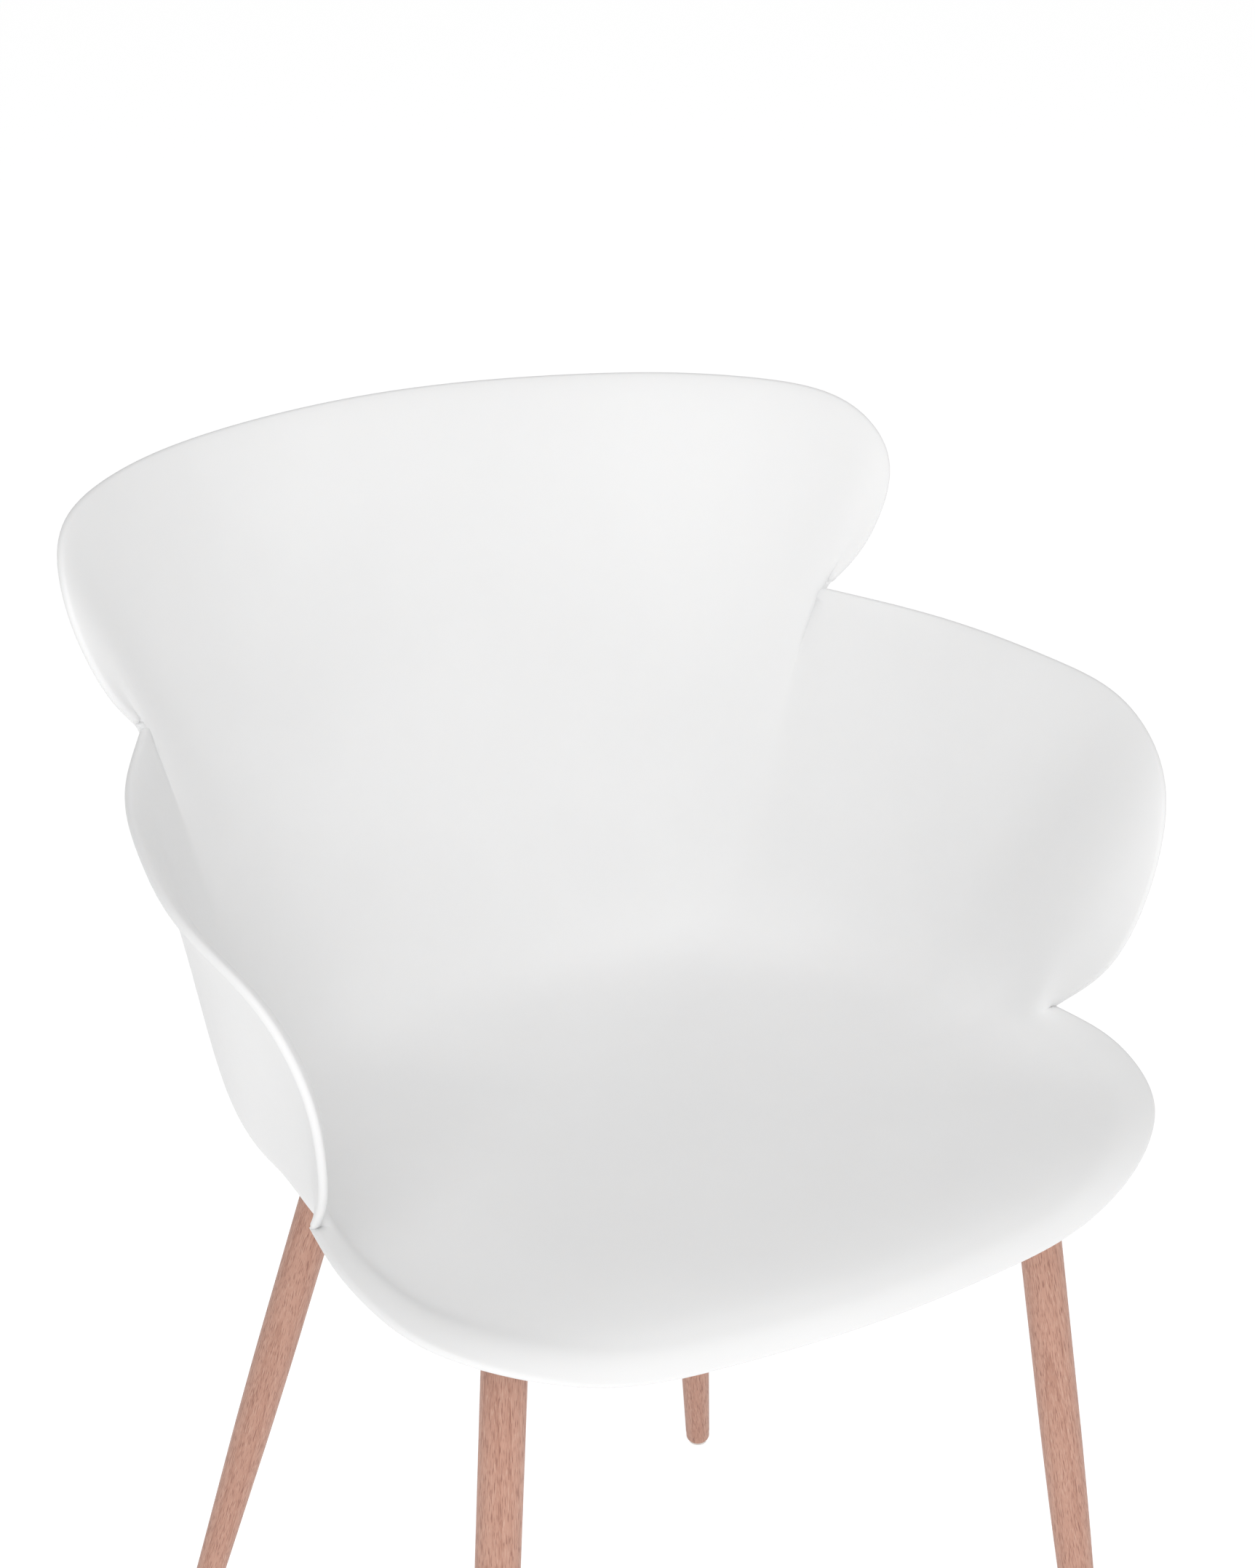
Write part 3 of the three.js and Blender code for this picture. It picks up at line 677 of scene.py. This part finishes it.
def hanger_bolt(leg):
    place = leg_place(leg)
    low, high = span(f"hanger_bolt_{leg}", place)
    plate_top = span(f"leg_washer_{leg}", place)[0]
    waist = plate_top - 4 * MM
    wood, wood_shape = threaded(4 * MM, 3.2 * MM, 1 * MM, low, waist - 2 * MM, 4 * MM)
    machine, machine_shape = threaded(4 * MM, 1.25 * MM, 0.65 * MM, waist, high, 1.2 * MM)
    neck_radius, neck_low, neck_high = 3.4 * MM, waist - 3 * MM, waist + 1 * MM
    neck = [(0, neck_low), (neck_radius, neck_low), (neck_radius, neck_high), (0, neck_high)]
    vertices, faces = joined(turned(wood, place, 36, wood_shape), turned(neck, place, 36),
                             turned(machine, place, 36, machine_shape))
    new_piece(f"hanger_bolt_fine_{leg}", vertices, faces, "zinc_steel", f"hanger_bolt_{leg}")


def washer(name, node, place, inside, outside, slot):
    low, high = span(node, place)
    edge = 0.3 * (high - low)
    corners = [(inside, low), (outside, low), (outside, high), (inside, high)]
    outline = rounded(corners, edge, 4, closed=True)
    vertices, faces = turned(outline, place, 64)
    new_piece(name, vertices, faces, slot, node)


def hexagon(across, angles):
    """Radius round a hexagon of that size across its flats."""
    return across / 2 / np.cos((angles + math.pi / 6) % (math.pi / 3) - math.pi / 6)


def leg_nut(leg):
    place = leg_place(leg)
    low, high = span(f"leg_nut_{leg}", place)
    across, bore, chamfer = 13 * MM, 3.6 * MM, 1.1 * MM
    rises = np.linspace(0, 1, 6)
    corner, face = across / math.sqrt(3), across / 2 * 0.96
    limits = [face + (corner - face) * r for r in rises]
    lower = [(limit, low + chamfer * r) for limit, r in zip(limits, rises)]
    upper = [(limit, high - chamfer * r) for limit, r in zip(limits, rises)][::-1]
    outline = [(bore, low + 0.7 * MM), (bore + 0.7 * MM, low), *lower, *upper,
               (bore + 0.7 * MM, high), (bore, high - 0.7 * MM)]

    def shape(row, angles):
        radius = outline[row][0]
        flat = row < 2 or row > len(outline) - 3
        return np.full(len(angles), radius) if flat else np.minimum(radius, hexagon(across, angles))

    vertices, faces = turned(outline, place, 96, shape)
    new_piece(f"leg_nut_fine_{leg}", vertices, faces, "zinc_steel", f"leg_nut_{leg}", sharp=25)


def seat_screw(leg):
    """A domed head with a hexagon socket, head down, and a threaded rod."""
    place = screw_place(leg)
    low, high = span(f"seat_screw_{leg}", place)
    head, head_height, across, depth = 5.5 * MM, 4 * MM, 4 * MM, 2.2 * MM
    head_top = low + head_height
    corners = [(0.7 * head, low), (head, low + 0.45 * head_height), (head, head_top), (3 * MM, head_top)]
    dome = rounded(corners, [0, 1.6 * MM, 0.5 * MM, 0], 6)
    outline = [(0, low + depth), (across / 2, low + depth), (across / 2, low + 0.4 * MM),
               (across / 2 + 0.6 * MM, low), *dome, (0, head_top)]
    socket_rows = (1, 2)

    def shape(row, angles):
        radius = outline[row][0]
        return hexagon(2 * radius, angles) if row in socket_rows else np.full(len(angles), radius)

    head_part = turned(outline, place, 96, shape)
    rod, rod_shape = threaded(3 * MM, 1 * MM, 0.55 * MM, head_top - 0.2 * MM, high, 1 * MM)
    vertices, faces = joined(head_part, turned(rod, place, 32, rod_shape))
    new_piece(f"seat_screw_fine_{leg}", vertices, faces, "zinc_steel", f"seat_screw_{leg}")


def threaded_insert(leg):
    """Brass, with a straight knurl in two bands."""
    place = screw_place(leg)
    low, high = span(f"insert_{leg}", place)
    inside, outside = 3.3 * MM, 4.5 * MM
    steps = np.linspace(low, high, 25)
    outline = [(inside, low), *((outside, h) for h in steps), (inside, high)]
    plain = {0, 1, 12, 13, 14, 25, 26}

    def shape(row, angles):
        radius = np.full(len(angles), outline[row][0])
        return radius if row in plain else radius - 0.25 * MM * (np.cos(24 * angles) < 0)

    vertices, faces = turned(outline, place, 96, shape)
    new_piece(f"insert_fine_{leg}", vertices, faces, "brass", f"insert_{leg}", sharp=25)


def glide(leg):
    """Square to the leg on top, with a hole for its nail, and flat on the floor below."""
    place = leg_place(leg)
    top = span(f"glide_{leg}", place)[1]
    radius, hole, hole_floor, segments = 6 * MM, 1.5 * MM, 0.72, 64
    rows = [(0, hole_floor), (hole, hole_floor), (hole, 1), (radius, 1), (radius, 0), (0, 0)]
    axis = line_of(leg)[1]
    angles = np.arange(segments) * 2 * math.pi / segments
    vertices = []
    for reach, share in rows:
        for angle in angles:
            upper = place @ Vector((reach * math.cos(angle), reach * math.sin(angle), top))
            lower = upper - axis * (upper.z / axis.z)
            vertices.append(lower.lerp(upper, share))
    faces = ring_faces(len(rows), segments)
    new_piece(f"glide_fine_{leg}", vertices, faces, "pale_plastic", f"glide_{leg}")


def glide_nail(leg):
    place = leg_place(leg)
    low, high = span(f"glide_nail_{leg}", place)
    radius = 1.2 * MM
    outline = [(0, low), (radius, low), (radius, high - 3 * MM), (0, high)]
    outline = rounded(outline, [0, 0.2 * MM, 2 * MM, 0], 4)
    vertices, faces = turned(outline, place, 24)
    new_piece(f"glide_nail_fine_{leg}", vertices, faces, "zinc_steel", f"glide_nail_{leg}")


# ---- The steel frame ----------------------------------------------------------------------------
def plate_mesh(outlines, thickness, bevel):
    """A flat plate about z = 0 from closed outlines, the first its edge and the rest its holes."""
    curve = bpy.data.curves.new("plate", "CURVE")
    curve.dimensions = "2D"
    curve.fill_mode = "BOTH"
    curve.extrude = thickness / 2 - bevel
    curve.bevel_depth = bevel
    curve.bevel_resolution = 2
    curve.offset = -bevel
    for outline in outlines:
        spline = curve.splines.new("POLY")
        spline.points.add(len(outline) - 1)
        for point, (x, y) in zip(spline.points, outline):
            point.co = (x, y, 0, 1)
        spline.use_cyclic_u = True
    scratch = bpy.data.objects.new("plate", curve)
    bpy.context.collection.objects.link(scratch)
    mesh = evaluated_mesh(scratch)
    mesh.materials.clear()
    bpy.data.objects.remove(scratch)
    return mesh


def circle(radius, steps=48):
    turns = [2 * math.pi * i / steps for i in range(steps)]
    return [(radius * math.cos(turn), radius * math.sin(turn)) for turn in turns]


def bend(mesh, fold, tilt, radius, start, level):
    """Bends a mesh by tilt about the line x = fold, then stands it at a start and a level."""
    swing = radius * tilt
    for vertex in mesh.verts:
        x, z = vertex.co.x - fold, vertex.co.z
        turn = tilt * min(max(0.5 - x / swing, 0), 1)
        lead = radius * math.sin(turn)
        drop = radius * (1 - math.cos(turn))
        rest = max(0, -x - swing / 2)
        along = -rest * math.cos(tilt) - lead if turn else x - swing / 2
        rise = rest * math.sin(tilt) + drop
        vertex.co.x = start + along + z * math.sin(turn)
        vertex.co.z = level + rise + z * math.cos(turn)


def leg_plate(leg):
    """A flat blank with rounded corners and a bolt hole, bent to the leg's tilt."""
    bar = bar_place(leg)
    tilt = line_of(leg)[1].angle((0, 0, 1))
    thickness, width, corner, bolt_hole = 3 * MM, 34 * MM, 9 * MM, 4.5 * MM
    half, bend_radius = 18 * MM, 9 * MM
    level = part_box("frame_hub")[1].z - thickness / 2
    inner = span(f"leg_plate_{leg}", bar, (1, 0, 0))[1]
    end = half + inner - half * math.cos(tilt)
    blank = [(-half, -width / 2), (end, -width / 2), (end, width / 2), (-half, width / 2)]
    outline = rounded(blank, corner, 10, closed=True)
    mesh = plate_mesh([outline, circle(bolt_hole)], thickness, 0.5 * MM)
    swing = bend_radius * tilt
    cuts = bmesh.new()
    cuts.from_mesh(mesh)
    for share in np.linspace(-0.5, 0.5, 9):
        geometry = [*cuts.verts, *cuts.edges, *cuts.faces]
        line = (half + swing * share, 0, 0)
        bmesh.ops.bisect_plane(cuts, geom=geometry, plane_co=line, plane_no=(1, 0, 0))
    bend(cuts, half, tilt, bend_radius, half * math.cos(tilt) + swing / 2, level)
    bmesh.ops.transform(cuts, matrix=bar, verts=cuts.verts)
    cuts.to_mesh(mesh)
    cuts.free()
    finished_piece(f"leg_plate_fine_{leg}", mesh, "frame_paint", f"leg_plate_{leg}", sharp=40)


def hub():
    """A square plate with a drain hole, its corners towards the chair's front and sides."""
    low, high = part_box("frame_hub")
    centre = (low + high) / 2
    side, corner = 96 * MM, 14 * MM
    outline = rounded(rectangle(side, side), corner, 12, closed=True)
    drain = circle(5 * MM)
    mesh = plate_mesh([outline, drain], high.z - low.z, 0.5 * MM)
    mesh.transform(Matrix.Translation(centre) @ Matrix.Rotation(math.pi / 4, 4, "Z"))
    finished_piece("frame_hub_fine", mesh, "frame_paint", "frame_hub", sharp=40)


BAR_EDGE, BAR_TAPER = 0.3 * MM, 0.965  # length and narrowing of the softened edge at a tube's ends
BAR_WIDTH = 25 * MM


def frame_bar(leg):
    """Rectangular steel tube with rounded corners, drilled for the seat screw."""
    place, node = bar_place(leg), f"frame_bar_{leg}"
    outer, inner = span(node, place, (1, 0, 0))
    low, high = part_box(node)
    width, wall, corner = BAR_WIDTH, 2 * MM, 3 * MM
    height = high.z - low.z
    outside, inside = (
        rounded(rectangle(width - 2 * inset, height - 2 * inset), corner - inset, 8, closed=True)
        for inset in (0, wall))
    sections = [(outer + BAR_EDGE, outside, 1), (outer, outside, BAR_TAPER), (outer, inside, 1),
                (inner, inside, 1), (inner, outside, BAR_TAPER), (inner - BAR_EDGE, outside, 1)]
    level = (low.z + high.z) / 2
    vertices = []
    for x, loop, scale in sections:
        for y, z in loop:
            vertices.append(place @ Vector((x, y * scale, level + z * scale)))
    faces = ring_faces(len(sections), len(outside), closed_rows=True)
    bar = new_piece(f"frame_bar_fine_{leg}", vertices, faces, "frame_paint", node)
    radius, bottom, top = 3.5 * MM, low.z - MM, high.z + MM
    hole = [(0, bottom), (radius, bottom), (radius, top), (0, top)]
    boolean(bar, tool(*turned(hole, screw_place(leg), 32)), "DIFFERENCE")
    bar.data.shade_smooth()
    bar.data.set_sharp_from_angle(angle=math.radians(35))


def bar_cap(leg):
    """A flange over the tube's open end, and a plug inside it."""
    place, node = bar_place(leg), f"bar_cap_{leg}"
    outer, inner = span(node, place, (1, 0, 0))
    low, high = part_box(node)
    height, width, flange, wall, overlap = high.z - low.z, BAR_WIDTH, 2.5 * MM, 2.3 * MM, 0.2 * MM
    upright = Matrix.Translation((0, 0, (low.z + high.z) / 2)) @ Matrix.Rotation(math.pi / 2, 4, "Y")
    plug = (height - 2 * wall, width - 2 * wall, outer + flange - overlap, inner - outer - flange, 1 * MM)
    parts = []
    for size_x, size_y, start, depth, corner in ((height, width, outer, flange, 3 * MM), plug):
        outline = rounded(rectangle(size_x, size_y), corner, 6, closed=True)
        mesh = plate_mesh([outline], depth, 0.5 * MM)
        mesh.transform(place @ Matrix.Translation((start + depth / 2, 0, 0)) @ upright)
        faces = [tuple(polygon.vertices) for polygon in mesh.polygons]
        parts.append(([vertex.co.copy() for vertex in mesh.vertices], faces))
    vertices, faces = joined(*parts)
    new_piece(f"bar_cap_fine_{leg}", vertices, faces, "black_plastic", node)


def weld_bead(start, end, radius):
    """A rippled round bead between two points, tapered at both ends."""
    run = end - start
    step, ripple_length, segments = 0.25 * MM, 1.7 * MM, 12
    rows = int(run.length / step)
    turn = Vector((0, 0, 1)).rotation_difference(run).to_matrix().to_4x4()
    place = Matrix.Translation(start) @ turn
    outline = []
    for row in range(rows + 1):
        height = run.length * row / rows
        taper = min(1, height / (2 * radius), (run.length - height) / (2 * radius))
        ripple = 1 + 0.09 * math.sin(2 * math.pi * height / ripple_length)
        outline.append((radius * math.sqrt(max(0, taper)) * ripple, height))
    return turned(outline, place, segments)


def welds(leg):
    """Beads where a bar meets the hub plate and the leg's plate, along both its sides."""
    place = bar_place(leg)
    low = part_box(f"frame_bar_{leg}")[0].z
    outer, inner = span(f"frame_bar_{leg}", place, (1, 0, 0))
    tongue = span(f"leg_plate_{leg}", place, (1, 0, 0))[1]
    radius, side = 1.7 * MM, 12.6 * MM
    runs = ((outer + 2 * MM, tongue - 5 * MM), (inner - 30 * MM, inner - 1 * MM))
    beads = []
    for y in (-side, side):
        for run in runs:
            start, end = (place @ Vector((x, y, low)) for x in run)
            beads.append(weld_bead(start, end, radius))
    vertices, faces = joined(*beads)
    new_piece(f"weld_{leg}", vertices, faces, "frame_paint")


# ---- The chair ----------------------------------------------------------------------------------
seat_shell()
hub()
for leg in LEGS:
    on_leg, on_screw = leg_place(leg), screw_place(leg)
    turned_leg(leg)
    hanger_bolt(leg)
    leg_nut(leg)
    washer(f"leg_washer_fine_{leg}", f"leg_washer_{leg}", on_leg, 4.3 * MM, 8.5 * MM, "zinc_steel")
    glide(leg)
    glide_nail(leg)
    seat_screw(leg)
    threaded_insert(leg)
    washer(f"seat_washer_fine_{leg}", f"seat_washer_{leg}", on_screw, 3.3 * MM, 7 * MM, "zinc_steel")
    washer(f"seat_spacer_fine_{leg}", f"seat_spacer_{leg}", on_screw, 3.3 * MM, 9 * MM, "black_plastic")
    leg_plate(leg)
    frame_bar(leg)
    bar_cap(leg)
    welds(leg)


# ---- The studio ---------------------------------------------------------------------------------
FLOOR_SIDE = 60
SOFTBOX_DISTANCE, SOFTBOX_SIZE = 3.2, 2.4
CAMERA_PLACE = (-0.9023, -1.4184, 1.2776)
CAMERA_AZIMUTH, CAMERA_ELEVATION = -32.74, 21.47  # degrees, from the chair's front and its floor
CAMERA_LENS = 73


def towards(azimuth, elevation):
    """The direction, away from the chair, of a place at those angles in degrees."""
    a, e = math.radians(azimuth), math.radians(elevation)
    return Vector((math.sin(a) * math.cos(e), -math.cos(a) * math.cos(e), math.sin(e)))


def floor():
    """A pale floor, lit a little from within so that shadows stay faint on it."""
    corners = [(x, y, 0) for x, y in rectangle(FLOOR_SIDE, FLOOR_SIDE)]
    mesh = bpy.data.meshes.new("studio_floor")
    mesh.from_pydata(corners, [], [(0, 1, 2, 3)])
    plane = bpy.data.objects.new("studio_floor", mesh)
    bpy.context.collection.objects.link(plane)
    made, *_, principled = shader("studio_floor", 0.9)
    principled.inputs["Base Color"].default_value = (0.5, 0.5, 0.5, 1)
    principled.inputs["Specular IOR Level"].default_value = 0
    principled.inputs["Emission Color"].default_value = (1, 1, 1, 1)
    principled.inputs["Emission Strength"].default_value = 0.76
    mesh.materials.append(made)


def softbox(name, azimuth, elevation, power):
    """A square area light that faces the middle of the chair."""
    light = bpy.data.lights.new(name, "AREA")
    light.shape = "SQUARE"
    light.size = SOFTBOX_SIZE
    light.energy = power
    lamp = bpy.data.objects.new(name, light)
    bpy.context.collection.objects.link(lamp)
    aim = Vector((0, 0, 0.5))
    back = towards(azimuth, elevation)
    lamp.location = aim + back * SOFTBOX_DISTANCE
    lamp.rotation_euler = (-back).to_track_quat("-Z", "Y").to_euler()


def studio():
    """An even white world and three softboxes, the strongest behind the camera."""
    world = bpy.data.worlds.new("studio")
    world.use_nodes = True
    background = world.node_tree.nodes["Background"]
    background.inputs["Color"].default_value = (1, 1, 1, 1)
    background.inputs["Strength"].default_value = 0.46
    bpy.context.scene.world = world
    softbox("camera_softbox", azimuth=-33, elevation=35, power=48)
    softbox("right_softbox", azimuth=35, elevation=25, power=9)
    softbox("top_softbox", azimuth=-20, elevation=75, power=8)
    bpy.context.scene.view_settings.view_transform = "Standard"
    bpy.context.scene.view_settings.look = "None"


def camera():
    """The photograph's viewpoint: to the chair's front left, looking down on the seat."""
    data = bpy.data.cameras.new("camera")
    data.sensor_width = 36
    data.lens = CAMERA_LENS
    made = bpy.data.objects.new("camera", data)
    bpy.context.collection.objects.link(made)
    back = towards(CAMERA_AZIMUTH, CAMERA_ELEVATION)
    made.location = CAMERA_PLACE
    made.rotation_euler = (-back).to_track_quat("-Z", "Y").to_euler()
    bpy.context.scene.camera = made


floor()
studio()
camera()
